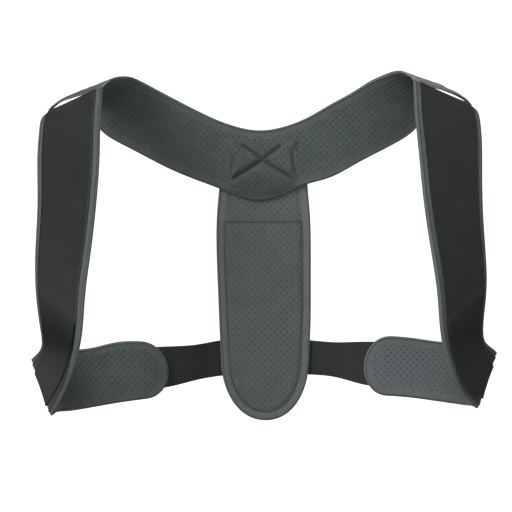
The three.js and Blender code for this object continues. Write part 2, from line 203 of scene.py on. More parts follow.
class Band:
    """A ruled surface between two edge curves. (s, w): distance along, share across. It also knows its flat pattern."""

    def __init__(self, rows, side, ref, lean=(0.75, 0.75), step=1.5):
        A = np.array([r[1:4] for r in rows], float)
        B = np.array([r[4:7] for r in rows], float)
        d = (np.linalg.norm(np.diff(A, axis=0), axis=1) + np.linalg.norm(np.diff(B, axis=0), axis=1)) / 2
        self.rows, self.side = rows, side
        self.at = np.concatenate([[0], np.cumsum(d)])
        self.length = self.at[-1]
        self.fA, self.fB = spline(self.at, A), spline(self.at, B)
        self.arch, self.thick = spline(self.at, [r[7] for r in rows]), spline(self.at, [r[8] for r in rows])
        self.names = [r[0] for r in rows]
        self.lean = lean
        n = int(self.length / step) + 2
        self.S = np.linspace(0, self.length, n)
        a, b = self.fA(self.S), self.fB(self.S)
        i0 = int(np.argmin(abs(self.S - self.at[self.names.index(ref)])))
        A2, B2 = np.zeros((n, 2)), np.zeros((n, 2))
        A2[i0] = a[i0, [0, 2]]
        t = (b[i0] - a[i0])[[0, 2]]
        B2[i0] = A2[i0] + t / np.linalg.norm(t) * np.linalg.norm(b[i0] - a[i0])
        for way in (1, -1):
            i = i0
            da, db = (a[i0 + way] - a[i0])[[0, 2]], (b[i0 + way] - b[i0])[[0, 2]]
            while 0 <= i + way < n:
                j = i + way
                A2[j] = place(A2[i], B2[i], np.linalg.norm(a[j] - a[i]), np.linalg.norm(a[j] - b[i]), A2[i] + da)
                B2[j] = place(B2[i], A2[j], np.linalg.norm(b[j] - b[i]), np.linalg.norm(b[j] - a[j]), B2[i] + db)
                da, db, i = A2[j] - A2[i], B2[j] - B2[i], j
        self.A2, self.B2 = A2, B2

    def where(self, name):
        return self.at[self.names.index(name)]

    def plain(self, s, w):
        a, b = self.fA(s), self.fB(s)
        return a + (b - a) * np.asarray(w)[:, None]

    def _normal(self, f, s, w):
        e, g = 0.5, 0.006
        along, across = f(s + e, w) - f(s - e, w), f(s, w + g) - f(s, w - g)
        return unit(np.cross(along, across)) * self.side

    def mid(self, s, w):
        p, (a, b) = self.plain(s, w), self.lean
        top = a / (a + b)
        shape = (np.clip(w, 0, 1) / top) ** a * (np.clip(1 - w, 0, 1) / (1 - top)) ** b
        return p + self._normal(self.plain, s, w) * (self.arch(s) * shape)[:, None]

    def point(self, s, w, off=0.0):
        """Middle surface moved out by off."""
        s, w = np.broadcast_arrays(np.atleast_1d(np.asarray(s, float)), np.atleast_1d(np.asarray(w, float)))
        return self.mid(s, w) + self._normal(self.mid, s, w) * np.broadcast_to(off, s.shape)[:, None]

    def flat(self, s, w):
        a = np.stack([np.interp(s, self.S, self.A2[:, k]) for k in (0, 1)], -1)
        b = np.stack([np.interp(s, self.S, self.B2[:, k]) for k in (0, 1)], -1)
        return a + (b - a) * np.asarray(w)[..., None]

    def locate(self, q):
        """(s, w) of points of the flat pattern."""
        q = np.atleast_2d(q)
        n = len(self.S)
        G = np.concatenate([self.A2 + (self.B2 - self.A2) * w for w in (0, 0.25, 0.5, 0.75, 1)])
        near = np.empty(len(q), int)
        for k in range(0, len(q), 1500):
            near[k : k + 1500] = ((q[k : k + 1500, None] - G[None]) ** 2).sum(-1).argmin(1)
        win = np.clip(near[:, None] % n + np.arange(-9, 10)[None], 0, n - 1)
        D = self.B2[win] - self.A2[win]
        R = q[:, None] - self.A2[win]
        c = D[..., 0] * R[..., 1] - D[..., 1] * R[..., 0]
        change = (c[:, :-1] * c[:, 1:] <= 0) & (win[:, :-1] != win[:, 1:])
        k = np.where(change.any(1), change.argmax(1), 0)
        rows = np.arange(len(q))
        none = ~change.any(1)
        if none.any():  # past an end: the last pair that has a width
            last = win[:, -1] == n - 1
            k = np.where(none & last, 0, k)
            for r in rows[none]:
                d = np.flatnonzero(win[r, :-1] != win[r, 1:])
                k[r] = d[-1] if last[r] else d[0]
        i, j = win[rows, k], win[rows, k + 1]
        ci, cj = c[rows, k], c[rows, k + 1]
        f = ci / np.where(abs(ci - cj) < 1e-12, 1e-12, ci - cj)
        a = self.A2[i] + (self.A2[j] - self.A2[i]) * f[:, None]
        b = self.B2[i] + (self.B2[j] - self.B2[i]) * f[:, None]
        w = ((q - a) * (b - a)).sum(1) / ((b - a) ** 2).sum(1)
        return self.S[i] + f * (self.S[j] - self.S[i]), w


# ---------------------------------------------------------------- flat outlines
def resample(loop, step):
    loop = np.asarray(loop)
    closed = np.vstack([loop, loop[:1]])
    d = np.concatenate([[0], np.cumsum(np.linalg.norm(np.diff(closed, axis=0), axis=1))])
    n = max(8, int(round(d[-1] / step)))
    t = np.linspace(0, d[-1], n, endpoint=False)
    return np.stack([np.interp(t, d, closed[:, k]) for k in (0, 1)], -1)


def area2(p):
    x, y = p[:, 0], p[:, 1]
    return 0.5 * float((x * np.roll(y, -1) - np.roll(x, -1) * y).sum())


def band_outline(band, start=0.0, stop=None, inset_a=0.0, inset_b=0.0, round_end=0.0, step=2.2):
    """Closed outline of a band in its flat pattern. inset_a and inset_b take mm off each edge."""
    stop = band.length if stop is None else stop
    straight = stop - round_end
    s = np.linspace(start, straight, max(3, int((straight - start) / 2)))
    width = np.linalg.norm(band.flat(s, np.ones_like(s)) - band.flat(s, np.zeros_like(s)), axis=1)
    ia = inset_a(s) if callable(inset_a) else inset_a
    wa, wb = ia / width, 1 - inset_b / width
    A, B = band.flat(s, wa), band.flat(s, wb)
    parts = [B]
    if round_end:
        t = np.linspace(0, math.pi, 40)[1:-1]
        q = abs(np.sin(t)) ** (2 / END_CURVE)
        half = np.sign(np.cos(t)) * abs(np.cos(t)) ** (2 / END_CURVE)
        sr = straight + round_end * q
        wr = np.linalg.norm(band.flat(sr, np.ones_like(sr)) - band.flat(sr, np.zeros_like(sr)), axis=1)
        lo, hi = (inset_a(sr) if callable(inset_a) else inset_a) / wr, 1 - inset_b / wr
        parts.append(band.flat(sr, (lo + hi) / 2 + half * (hi - lo) / 2))
    parts.append(A[::-1])
    loop = resample(np.vstack(parts), step)
    return loop if area2(loop) > 0 else loop[::-1]


def soften(loop, times=2):
    for _ in range(times):
        loop = (np.roll(loop, 1, 0) + 2 * loop + np.roll(loop, -1, 0)) / 4
    return loop


def outward(loop):
    t = unit(np.roll(loop, -1, 0) - np.roll(loop, 1, 0))
    return np.stack([t[:, 1], -t[:, 0]], -1)  # the loop runs anticlockwise


def distance(q, line, closed=True):
    """Distance from each point to a polyline."""
    a = np.asarray(line, float)
    b = np.roll(a, -1, 0) if closed else a[1:]
    a = a if closed else a[:-1]
    ab = b - a
    L = np.maximum((ab**2).sum(1), 1e-12)
    out = np.empty(len(q))
    for k in range(0, len(q), 2000):
        r = q[k : k + 2000, None] - a[None]
        t = np.clip((r * ab[None]).sum(-1) / L, 0, 1)
        out[k : k + 2000] = np.sqrt(((r - ab[None] * t[..., None]) ** 2).sum(-1).min(1))
    return out


def inside(q, loop):
    x, y = q[:, 0][:, None], q[:, 1][:, None]
    a, b = loop, np.roll(loop, -1, 0)
    hit = (a[:, 1] > y) != (b[:, 1] > y)
    dy = np.where(abs(b[:, 1] - a[:, 1]) < 1e-12, 1e-12, b[:, 1] - a[:, 1])
    cross = x < (b[:, 0] - a[:, 0]) * (y - a[:, 1]) / dy + a[:, 0]
    return (hit & cross).sum(1) % 2 == 1


def step01(x):
    x = np.clip(x, 0, 1)
    return x * x * (3 - 2 * x)


# ---------------------------------------------------------------- smooth value noise, repeatable
NOISE = rng.standard_normal((96, 96))


def noise(q, size, shift=0.0):
    x, y = q[:, 0] / size + 31.7 + shift, q[:, 1] / size + 17.3 + 2 * shift
    i, j = np.floor(x).astype(int), np.floor(y).astype(int)
    u, v = step01(x - i), step01(y - j)
    g = lambda a, b: NOISE[a % 96, b % 96]
    return (g(i, j) * (1 - u) + g(i + 1, j) * u) * (1 - v) + (g(i, j + 1) * (1 - u) + g(i + 1, j + 1) * u) * v


# ---------------------------------------------------------------- building a soft piece from its outline
def lattice(loop, clear, keep_off=(), pitch=PITCH, origin=(0.0, 0.0)):
    """Perforation centres inside an outline, and the free places between them."""
    lo, hi = loop.min(0) - pitch, loop.max(0) + pitch
    i0, i1 = np.floor((lo - origin) / pitch).astype(int), np.ceil((hi - origin) / pitch).astype(int)
    gx, gy = np.meshgrid(np.arange(i0[0], i1[0] + 1), np.arange(i0[1], i1[1] + 1), indexing="ij")
    base = np.stack([gx.ravel(), gy.ravel()], -1) * pitch + origin
    holes = np.vstack([base, base + pitch / 2])
    free = np.vstack([base + (pitch / 2, 0), base + (0, pitch / 2)])
    holes = holes[inside(holes, loop)]
    holes = holes[distance(holes, loop) > clear]
    for line, off in keep_off:
        holes = holes[distance(holes, line, False) > off]
    free = free[inside(free, loop)]
    return holes, free


def triangulate(loop, rings, points, line=None):
    """Triangles of the region inside loop. rings are small closed polygons, which stay open. Returns points and triangles; the loop comes first, then the rings."""
    closed = [loop] + list(rings) + ([line] if line is not None else [])
    verts = closed + [points]
    n = [len(v) for v in verts]
    allv = np.vstack([v for v in verts if len(v)])
    edges, at = [], 0
    for k, c in enumerate(n[:-1]):
        edges += [(at + i, at + (i + 1) % c) for i in range(c)]
        at += c
    out = delaunay_2d_cdt([Vector(v) for v in allv.tolist()], edges, [list(range(n[0]))], 1, 1e-5, True)
    v2 = np.array([tuple(v) for v in out[0]])
    tri = np.array([f for f in out[2] if len(f) == 3], int)
    back = np.full(len(v2), -1)
    for new, old in enumerate(out[3]):
        if old:
            back[new] = min(old)
    added = np.flatnonzero(back < 0)
    if len(added):  # where two lines cross
        back[added] = len(allv) + np.arange(len(added))
        allv = np.vstack([allv, v2[added]])
    tri = back[tri]
    if len(rings):
        ring_n = n[1]
        first, last = n[0], n[0] + ring_n * len(rings)
        r = np.where((tri >= first) & (tri < last), (tri - first) // ring_n, -1)
        tri = tri[~((r[:, 0] >= 0) & (r[:, 0] == r[:, 1]) & (r[:, 1] == r[:, 2]))]
    x = allv[tri]
    turn = (x[:, 1, 0] - x[:, 0, 0]) * (x[:, 2, 1] - x[:, 0, 1]) - (x[:, 1, 1] - x[:, 0, 1]) * (x[:, 2, 0] - x[:, 0, 0])
    tri[turn < 0] = tri[turn < 0][:, ::-1]
    tri = tri[abs(turn) > 1e-9]
    return allv, tri[inside(allv[tri].mean(1), loop)]


def make_object(name, verts, faces, mats, mat_of=None, attrs=None, uv=None, smooth=True):
    me = bpy.data.meshes.new(name)
    me.from_pydata((np.asarray(verts) * MM).tolist(), [], [list(map(int, f)) for f in faces])
    for m in mats:
        me.materials.append(m)
    if mat_of is not None:
        me.polygons.foreach_set("material_index", np.asarray(mat_of, np.int32))
    me.polygons.foreach_set("use_smooth", np.full(len(me.polygons), smooth))
    for key, val in (attrs or {}).items():
        a = me.attributes.new(key, "FLOAT", "POINT")
        a.data.foreach_set("value", np.asarray(val, np.float32))
    if uv is not None:
        layer = me.uv_layers.new(name="flat")
        idx = np.zeros(len(me.loops), np.int32)
        me.loops.foreach_get("vertex_index", idx)
        layer.data.foreach_set("uv", (np.asarray(uv)[idx] * 0.01).astype(np.float32).ravel())
    me.validate()
    me.update()
    o = bpy.data.objects.new(name, me)
    bpy.context.scene.collection.objects.link(o)
    return o


def flat_lift(q, s, w):
    return np.zeros(len(q))


def pillow(name, band, outline, front, back, edge, edge_half, mats, holes=(), hole_free=(), extra=(), lift=flat_lift, base=3.2, back_mat=0, fold=6, inner_loops=(3.0, 6.2), back_line=None, crease=None, nap=None):
    """A soft closed piece from an outline in the flat pattern.

    front and back give the half thickness towards and away from the wearer from q, a flat point, d, its distance to the outline, and its s and w.
    edge is how far the rolled edge reaches in, edge_half(s, w) half its height, and lift(q, s, w) moves the middle surface out.
    Inside back_line, a closed flat line, the outer face has the material back_mat.
    """
    outline = np.asarray(outline)
    out2 = outward(outline)
    inner = outline - out2 * edge
    holes = np.asarray(holes).reshape(-1, 2)
    ring_angles = np.arange(HOLE_SIDES) * 2 * math.pi / HOLE_SIDES + 0.2
    circle = np.stack([np.cos(ring_angles), np.sin(ring_angles)], -1)
    lip_r = HOLE_R + 0.42
    rings = [h + circle * lip_r for h in holes]

    def fill_points(with_holes):
        pts = []
        for d in inner_loops:
            cand = resample(outline - out2 * d, base)
            pts.append(cand[abs(distance(cand, outline) - d) < 0.35])
        if with_holes:
            pts.append(np.asarray(hole_free).reshape(-1, 2))
        lo, hi = outline.min(0), outline.max(0)
        g = np.stack(np.meshgrid(np.arange(lo[0], hi[0], base), np.arange(lo[1], hi[1], base), indexing="ij"), -1).reshape(-1, 2)
        g[:, 0] += (np.round((g[:, 1] - lo[1]) / base) % 2) * base / 2
        g = g[inside(g, outline)]
        if with_holes and len(holes):
            near = np.full(len(g), 1e9)
            for k in range(0, len(g), 1500):
                near[k : k + 1500] = np.sqrt(((g[k : k + 1500, None] - holes[None]) ** 2).sum(-1).min(1))
            g = g[near > PITCH * 0.72]
        pts.append(g[distance(g, outline) > (inner_loops[-1] + base * 0.6 if len(inner_loops) else edge + base * 0.6)])
        pts = np.vstack([p for p in pts if len(p)])
        if len(extra):
            e = np.asarray(extra)
            near = np.full(len(pts), 1e9)
            for k in range(0, len(pts), 1500):
                near[k : k + 1500] = np.sqrt(((pts[k : k + 1500, None] - e[None]) ** 2).sum(-1).min(1))
            pts = np.vstack([pts[near > 1.1], e])
        pts = pts[inside(pts, outline)]
        pts = pts[distance(pts, outline) > edge + 0.7]
        if with_holes and len(holes):
            near = np.full(len(pts), 1e9)
            for k in range(0, len(pts), 1500):
                near[k : k + 1500] = np.sqrt(((pts[k : k + 1500, None] - holes[None]) ** 2).sum(-1).min(1))
            pts = pts[near > lip_r + 0.45]
        # drop points that are nearly on top of each other
        key = np.round(pts / 0.5).astype(int)
        _, first = np.unique(key, axis=0, return_index=True)
        return pts[np.sort(first)]

    V, F, M, E, U = [], [], [], [], []
    count = 0

    def add_points(p3, e, u):
        nonlocal count
        V.append(p3)
        E.append(np.broadcast_to(e, len(p3)).astype(float))
        U.append(u)
        count += len(p3)
        return count - len(p3)

    def add_faces(f, m):
        f = np.asarray(f, int)
        if len(f):
            F.extend(f.tolist())
            M.extend([m] * len(f))

    # side = -1 is the inner face, side = 1 the outer face
    sides = {}
    for side in (-1, 1):
        has = side == -1 and len(holes) > 0
        line = back_line if side == 1 else None
        pts = fill_points(has)
        if line is not None:
            pts = pts[distance(pts, line) > 0.9]
        q, tri = triangulate(inner, rings if has else [], pts, line)
        s, w = band.locate(q)
        d = distance(q, outline)
        h = (front if side == -1 else back)(q, d, s, w)
        nl = len(inner)
        h[:nl] = edge_half(s[:nl], w[:nl])
        up = lift(q, s, w)
        if has:
            h[nl : nl + len(rings) * HOLE_SIDES] -= 0.05
        first = add_points(band.point(s, w, up + side * h), d, q)
        turned = (tri if (side * band_turn(band) > 0) else tri[:, ::-1]) + first
        if line is None:
            add_faces(turned, 0 if side == -1 else back_mat)
        else:
            within = inside(q[tri].mean(1), line)
            add_faces(turned[within], back_mat)
            add_faces(turned[~within], 0)
        sides[side] = first
        if has:
            # lip, wall and floor of each perforation
            k = len(holes)
            hs, hw = band.locate(holes)
            hh = front(holes, distance(holes, outline), hs, hw)
            lip = np.arange(k * HOLE_SIDES).reshape(k, HOLE_SIDES) + first + nl
            prev = lip
            for r, deep, m in ((HOLE_R, 0.28, 0), (HOLE_R * 0.82, 0.75, 2), (HOLE_R * 0.7, HOLE_DEPTH, 2)):
                p2 = (holes[:, None] + circle[None] * r).reshape(-1, 2)
                ss, ww = band.locate(p2)
                at = add_points(band.point(ss, ww, lift(p2, ss, ww) - (np.repeat(hh, HOLE_SIDES) - deep)), 12.0, p2)
                cur = np.arange(k * HOLE_SIDES).reshape(k, HOLE_SIDES) + at
                a, b = prev, np.roll(prev, -1, 1)
                c, dd = np.roll(cur, -1, 1), cur
                quads = np.stack([a, b, c, dd], -1).reshape(-1, 4)
                add_faces(quads if (side * band_turn(band) > 0) else quads[:, ::-1], m)
                prev = cur
            add_faces(prev if (side * band_turn(band) > 0) else prev[:, ::-1], 2)
    # rolled edge
    s, w = band.locate(inner)
    so, wo = band.locate(outline)
    up, eh = lift(inner, s, w), edge_half(s, w)[:, None]
    p_in, p_out = band.point(s, w, up), band.point(so, wo, lift(outline, so, wo))
    out3 = unit(p_out - p_in)
    nrm = unit(band.point(s, w, up + 1.0) - p_in)
    out3 = unit(out3 - nrm * (out3 * nrm).sum(1, keepdims=True))
    n = len(inner)
    prev = np.arange(n) + sides[-1]
    for k in range(1, fold):
        t = math.pi * k / fold
        p = p_in + out3 * edge * math.sin(t) - nrm * eh * math.cos(t)
        at = add_points(p, 0.0, outline)
        cur = np.arange(n) + at
        quads = np.stack([prev, cur, np.roll(cur, -1), np.roll(prev, -1)], -1)
        add_faces(quads if band_turn(band) > 0 else quads[:, ::-1], 0)
        prev = cur
    cur = np.arange(n) + sides[1]
    quads = np.stack([prev, cur, np.roll(cur, -1), np.roll(prev, -1)], -1)
    add_faces(quads if band_turn(band) > 0 else quads[:, ::-1], 0)
    V, U, E = np.vstack(V), np.vstack(U), np.concatenate(E)
    # painted shade and painted light for the cloth's colour, one value per vertex
    C = crease(U) if crease is not None else np.zeros(len(U))
    N = nap(U) if nap is not None else np.zeros(len(U))
    o = make_object(name, V, F, mats, M, {"edge_mm": np.clip(E, 0, 20), "crease": C, "nap": N}, U)
    me = o.data
    vol = 0.0
    me.calc_loop_triangles()
    co = np.zeros(len(me.vertices) * 3, np.float64)
    me.vertices.foreach_get("co", co)
    co = co.reshape(-1, 3)
    t = np.zeros(len(me.loop_triangles) * 3, np.int32)
    me.loop_triangles.foreach_get("vertices", t)
    a, b, c = (co[t.reshape(-1, 3)[:, k]] for k in range(3))
    vol = float((a * np.cross(b, c)).sum()) / 6
    if vol < 0:
        me.flip_normals()
    print(name, len(me.vertices), "vertices", len(me.loop_triangles), "triangles", "volume cm3 %.1f" % (abs(vol) * 1e6))
    return o


def band_turn(band):
    """1 where the flat pattern seen from outside runs the same way as its axes, -1 where it is mirrored."""
    if not hasattr(band, "_turn"):
        m = len(band.S) // 2
        q = (band.A2[m] + band.B2[m]) / 2
        pts = np.array([q, q + (1, 0), q + (0, 1)])
        s, w = band.locate(pts)
        p = band.point(s, w, 0)
        nrm = band.point(s[:1], w[:1], 1.0)[0] - p[0]
        band._turn = 1 if float(np.dot(np.cross(p[1] - p[0], p[2] - p[0]), nrm)) > 0 else -1
    return band._turn



def path_samples(points, step, closed=False):
    """Points every step along a polyline."""
    p = np.asarray(points, float)
    if closed:
        p = np.vstack([p, p[:1]])
    d = np.concatenate([[0], np.cumsum(np.linalg.norm(np.diff(p, axis=0), axis=1))])
    t = np.arange(step / 2, d[-1], step)
    return np.stack([np.interp(t, d, p[:, k]) for k in range(p.shape[1])], -1)


def smooth_path(points, step=1.0):
    """A smooth line through a few points."""
    p = np.asarray(points, float)
    d = np.concatenate([[0], np.cumsum(np.linalg.norm(np.diff(p, axis=0), axis=1))])
    n = max(2, int(d[-1] / step))
    return spline(d, p)(np.linspace(0, d[-1], n + 1))


def stitches(name, band, lines, height, mat, pitch=3.0, length=2.2, r=0.3, proud=0.12, side=-1):
    """A row of separate stitches along each flat line; height(q, s, w) is how far the cloth's face is from the middle surface."""
    V, F = [], []
    segs, ring = 6, 6
    prof = np.array([0.0, 0.62, 0.95, 1.0, 0.95, 0.62, 0.0])
    for line in lines:
        p = path_samples(line, 0.25)
        d = np.concatenate([[0], np.cumsum(np.linalg.norm(np.diff(p, axis=0), axis=1))])
        for c in np.arange(pitch * 0.6, d[-1] - pitch * 0.4, pitch):
            c = c + rng.uniform(-0.08, 0.08)
            t = c + np.linspace(-0.5, 0.5, segs + 1) * length * rng.uniform(0.94, 1.04)
            q = np.stack([np.interp(t, d, p[:, k]) for k in (0, 1)], -1)
            s, w = band.locate(q)
            h = height(q, s, w)
            top = band.point(s, w, side * (h + proud - r * 0.55 * (1 - prof)))
            base = band.point(s, w, side * (h - 1.0))
            up = unit(top - base)
            along = unit(np.gradient(top, axis=0))
            acr = unit(np.cross(along, up))
            first = len(V)
            a = np.arange(ring) * 2 * math.pi / ring
            rr = r * (0.35 + 0.65 * prof)
            for k in range(segs + 1):
                for ang in a:
                    V.append(top[k] + acr[k] * math.cos(ang) * rr[k] + up[k] * math.sin(ang) * rr[k] * 0.8)
            for k in range(segs):
                for m in range(ring):
                    i, j = first + k * ring + m, first + k * ring + (m + 1) % ring
                    F.append((i, j, j + ring, i + ring))
            F.append(tuple(range(first, first + ring)))
            F.append(tuple(range(first + segs * ring + ring - 1, first + segs * ring - 1, -1)))
    o = make_object(name, V, F, [mat])
    fix_normals(o)
    return o


def fix_normals(o):
    import bmesh

    bm = bmesh.new()
    bm.from_mesh(o.data)
    bmesh.ops.recalc_face_normals(bm, faces=bm.faces)
    bm.to_mesh(o.data)
    bm.free()
    for p in o.data.polygons:
        p.use_smooth = True


def skin(inner, outer):
    """Points and faces of a closed thin sheet from a grid of inner points and a grid of outer points."""
    n, m = inner.shape[:2]
    V = np.vstack([inner.reshape(-1, 3), outer.reshape(-1, 3)])
    N = n * m
    F = []
    for i in range(n - 1):
        for j in range(m - 1):
            a, b, c, d = i * m + j, i * m + j + 1, (i + 1) * m + j + 1, (i + 1) * m + j
            F.append((a, b, c, d))
            F.append((N + d, N + c, N + b, N + a))
    for i in range(n - 1):
        a, b = i * m, (i + 1) * m
        F.append((a, b, N + b, N + a))
        a, b = i * m + m - 1, (i + 1) * m + m - 1
        F.append((b, a, N + a, N + b))
    for j in range(m - 1):
        a, b = j, j + 1
        F.append((b, a, N + a, N + b))
        a, b = (n - 1) * m + j, (n - 1) * m + j + 1
        F.append((a, b, N + b, N + a))
    return V, F


# ---------------------------------------------------------------- materials
def srgb(r, g, b):
    f = lambda c: c / 12.92 if c <= 0.04045 else ((c + 0.055) / 1.055) ** 2.4
    return (f(r / 255), f(g / 255), f(b / 255), 1.0)


class Mat:
    """A small helper for node materials."""

    def __init__(self, name):
        self.m = bpy.data.materials.new(name)
        self.m.use_nodes = True
        self.t = self.m.node_tree
        self.bsdf = next(n for n in self.t.nodes if n.type == "BSDF_PRINCIPLED")
        self.x = -1400

    def add(self, kind, **sets):
        n = self.t.nodes.new(kind)
        self.x += 60
        n.location = (self.x, 0)
        for k, v in sets.items():
            if k.startswith("_"):
                setattr(n, k[1:], v)
            else:
                n.inputs[k.replace("__", " ")].default_value = v
        return n

    def link(self, a, b):
        self.t.links.new(a, b)

    def math(self, op, a, b=None, clamp=False):
        n = self.t.nodes.new("ShaderNodeMath")
        n.operation, n.use_clamp = op, clamp
        for i, v in enumerate((a, b)):
            if v is None:
                continue
            if isinstance(v, (int, float)):
                n.inputs[i].default_value = v
            else:
                self.link(v, n.inputs[i])
        return n.outputs[0]

    def ramp(self, fac, stops, interp="LINEAR"):
        n = self.t.nodes.new("ShaderNodeValToRGB")
        n.color_ramp.interpolation = interp
        e = n.color_ramp.elements
        while len(e) < len(stops):
            e.new(0.5)
        for k, (pos, col) in enumerate(stops):
            e[k].position = pos
            e[k].color = col if isinstance(col, tuple) else (col, col, col, 1)
        self.link(fac, n.inputs["Fac"])
        return n.outputs["Color"]

    def mix(self, fac, a, b, blend="MIX"):
        n = self.t.nodes.new("ShaderNodeMix")
        n.data_type, n.blend_type = "RGBA", blend
        ins = [s for s in n.inputs if s.enabled]
        for s, v in ((n.inputs[0], fac), (n.inputs[6], a), (n.inputs[7], b)):
            if isinstance(v, (int, float, tuple)):
                s.default_value = v
            else:
                self.link(v, s)
        return n.outputs[2]

    def bump(self, height, strength, dist, normal=None):
        n = self.t.nodes.new("ShaderNodeBump")
        n.inputs["Strength"].default_value = strength
        n.inputs["Distance"].default_value = dist
        self.link(height, n.inputs["Height"])
        if normal is not None:
            self.link(normal, n.inputs["Normal"])
        return n.outputs["Normal"]


def grey_cloth(name, base, light, dark, border=8.0, tint=0.14, sheen=0.25):
    """Brushed knit face of the foam laminate: fine knit loops, a little mottling, lighter on the pressed border, a
    painted highlight along the rolled edge, and painted light and painted shade from vertex attributes.
    """
    k = Mat(name)
    uv = k.add("ShaderNodeUVMap", _uv_map="flat").outputs["UV"]
    edge = k.add("ShaderNodeAttribute", _attribute_name="edge_mm").outputs["Fac"]
    # knit: two crossed waves at about 0.75 mm, broken up by noise
    warp = k.add("ShaderNodeTexNoise", Scale=60.0, Detail=2.0)
    k.link(uv, warp.inputs["Vector"])
    w1 = k.add("ShaderNodeTexWave", _bands_direction="X", Scale=21.0, Distortion=1.2, Detail=1.0, Detail__Scale=3.0)
    w2 = k.add("ShaderNodeTexWave", _bands_direction="Y", Scale=26.0, Distortion=1.6, Detail=1.0, Detail__Scale=3.0)
    k.link(uv, w1.inputs["Vector"])
    k.link(uv, w2.inputs["Vector"])
    knit = k.math("MULTIPLY", w1.outputs["Fac"], w2.outputs["Fac"])
    fuzz = k.add("ShaderNodeTexNoise", Scale=420.0, Detail=3.0, Roughness=0.65)
    k.link(uv, fuzz.inputs["Vector"])
    mottle = k.add("ShaderNodeTexNoise", Scale=5.5, Detail=4.0, Roughness=0.6)
    k.link(uv, mottle.inputs["Vector"])
    tone = k.ramp(mottle.outputs["Fac"], [(0.3, dark), (0.7, base)])
    col = k.mix(k.math("MULTIPLY", fuzz.outputs["Fac"], 0.35), tone, light)
    col = k.mix(k.math("MULTIPLY", knit, 0.22), col, dark)
    # the pressed border is smoother and lighter; the rolled edge and the first 2 to 3 mm in from it are painted lighter
    # still, a painted highlight
    border_and_edge_highlight = k.ramp(k.math("DIVIDE", edge, 20.0), [(0.0, 0.62), (0.07, 0.5), (0.13, tint + 0.06), (border / 20.0, tint), (border / 20.0 + 0.06, 0.0)])
    col = k.mix(border_and_edge_highlight, col, light)
    # painted light: lighter where this attribute is set, on the left strap's under-arm part
    col = k.mix(k.add("ShaderNodeAttribute", _attribute_name="nap").outputs["Fac"], col, light)
    # painted shade: darker along the stitched grooves of the cross and the pocket seam, and over the yoke's lower
    # triangle
    crease = k.add("ShaderNodeAttribute", _attribute_name="crease").outputs["Fac"]
    col = k.mix(k.math("MULTIPLY", crease, 0.72), col, tuple(c * 0.25 for c in dark[:3]) + (1,))
    k.link(col, k.bsdf.inputs["Base Color"])
    rough = k.ramp(fuzz.outputs["Fac"], [(0.3, 0.78), (0.7, 0.95)])
    k.link(rough, k.bsdf.inputs["Roughness"])
    k.bsdf.inputs["Sheen Weight"].default_value = sheen
    k.bsdf.inputs["Sheen Roughness"].default_value = 0.5
    k.bsdf.inputs["Specular IOR Level"].default_value = 0.25
    h = k.math("ADD", k.math("MULTIPLY", knit, 0.7), k.math("MULTIPLY", fuzz.outputs["Fac"], 0.5))
    k.link(k.bump(h, 0.35, 0.00025), k.bsdf.inputs["Normal"])
    return k.m


def black_cloth(name, base, light, sheen=0.2):
    """Brushed loop cloth: short matted pile with streaks."""
    k = Mat(name)
    uv = k.add("ShaderNodeUVMap", _uv_map="flat").outputs["UV"]
    pile = k.add("ShaderNodeTexVoronoi", Scale=150.0, Randomness=1.0)
    k.link(uv, pile.inputs["Vector"])
    fuzz = k.add("ShaderNodeTexNoise", Scale=300.0, Detail=3.0, Roughness=0.7)
    k.link(uv, fuzz.inputs["Vector"])
    mottle = k.add("ShaderNodeTexNoise", Scale=4.0, Detail=5.0, Roughness=0.62)
    k.link(uv, mottle.inputs["Vector"])
    tone = k.ramp(mottle.outputs["Fac"], [(0.32, base), (0.72, light)])
    col = k.mix(k.math("MULTIPLY", fuzz.outputs["Fac"], 0.4), tone, light)
    k.link(col, k.bsdf.inputs["Base Color"])
    k.bsdf.inputs["Roughness"].default_value = 0.95
    k.bsdf.inputs["Sheen Weight"].default_value = sheen
    k.bsdf.inputs["Sheen Roughness"].default_value = 0.6
    k.bsdf.inputs["Specular IOR Level"].default_value = 0.15
    h = k.math("ADD", k.math("MULTIPLY", pile.outputs["Distance"], 0.6), k.math("MULTIPLY", fuzz.outputs["Fac"], 0.6))
    k.link(k.bump(h, 0.5, 0.0003), k.bsdf.inputs["Normal"])
    return k.m


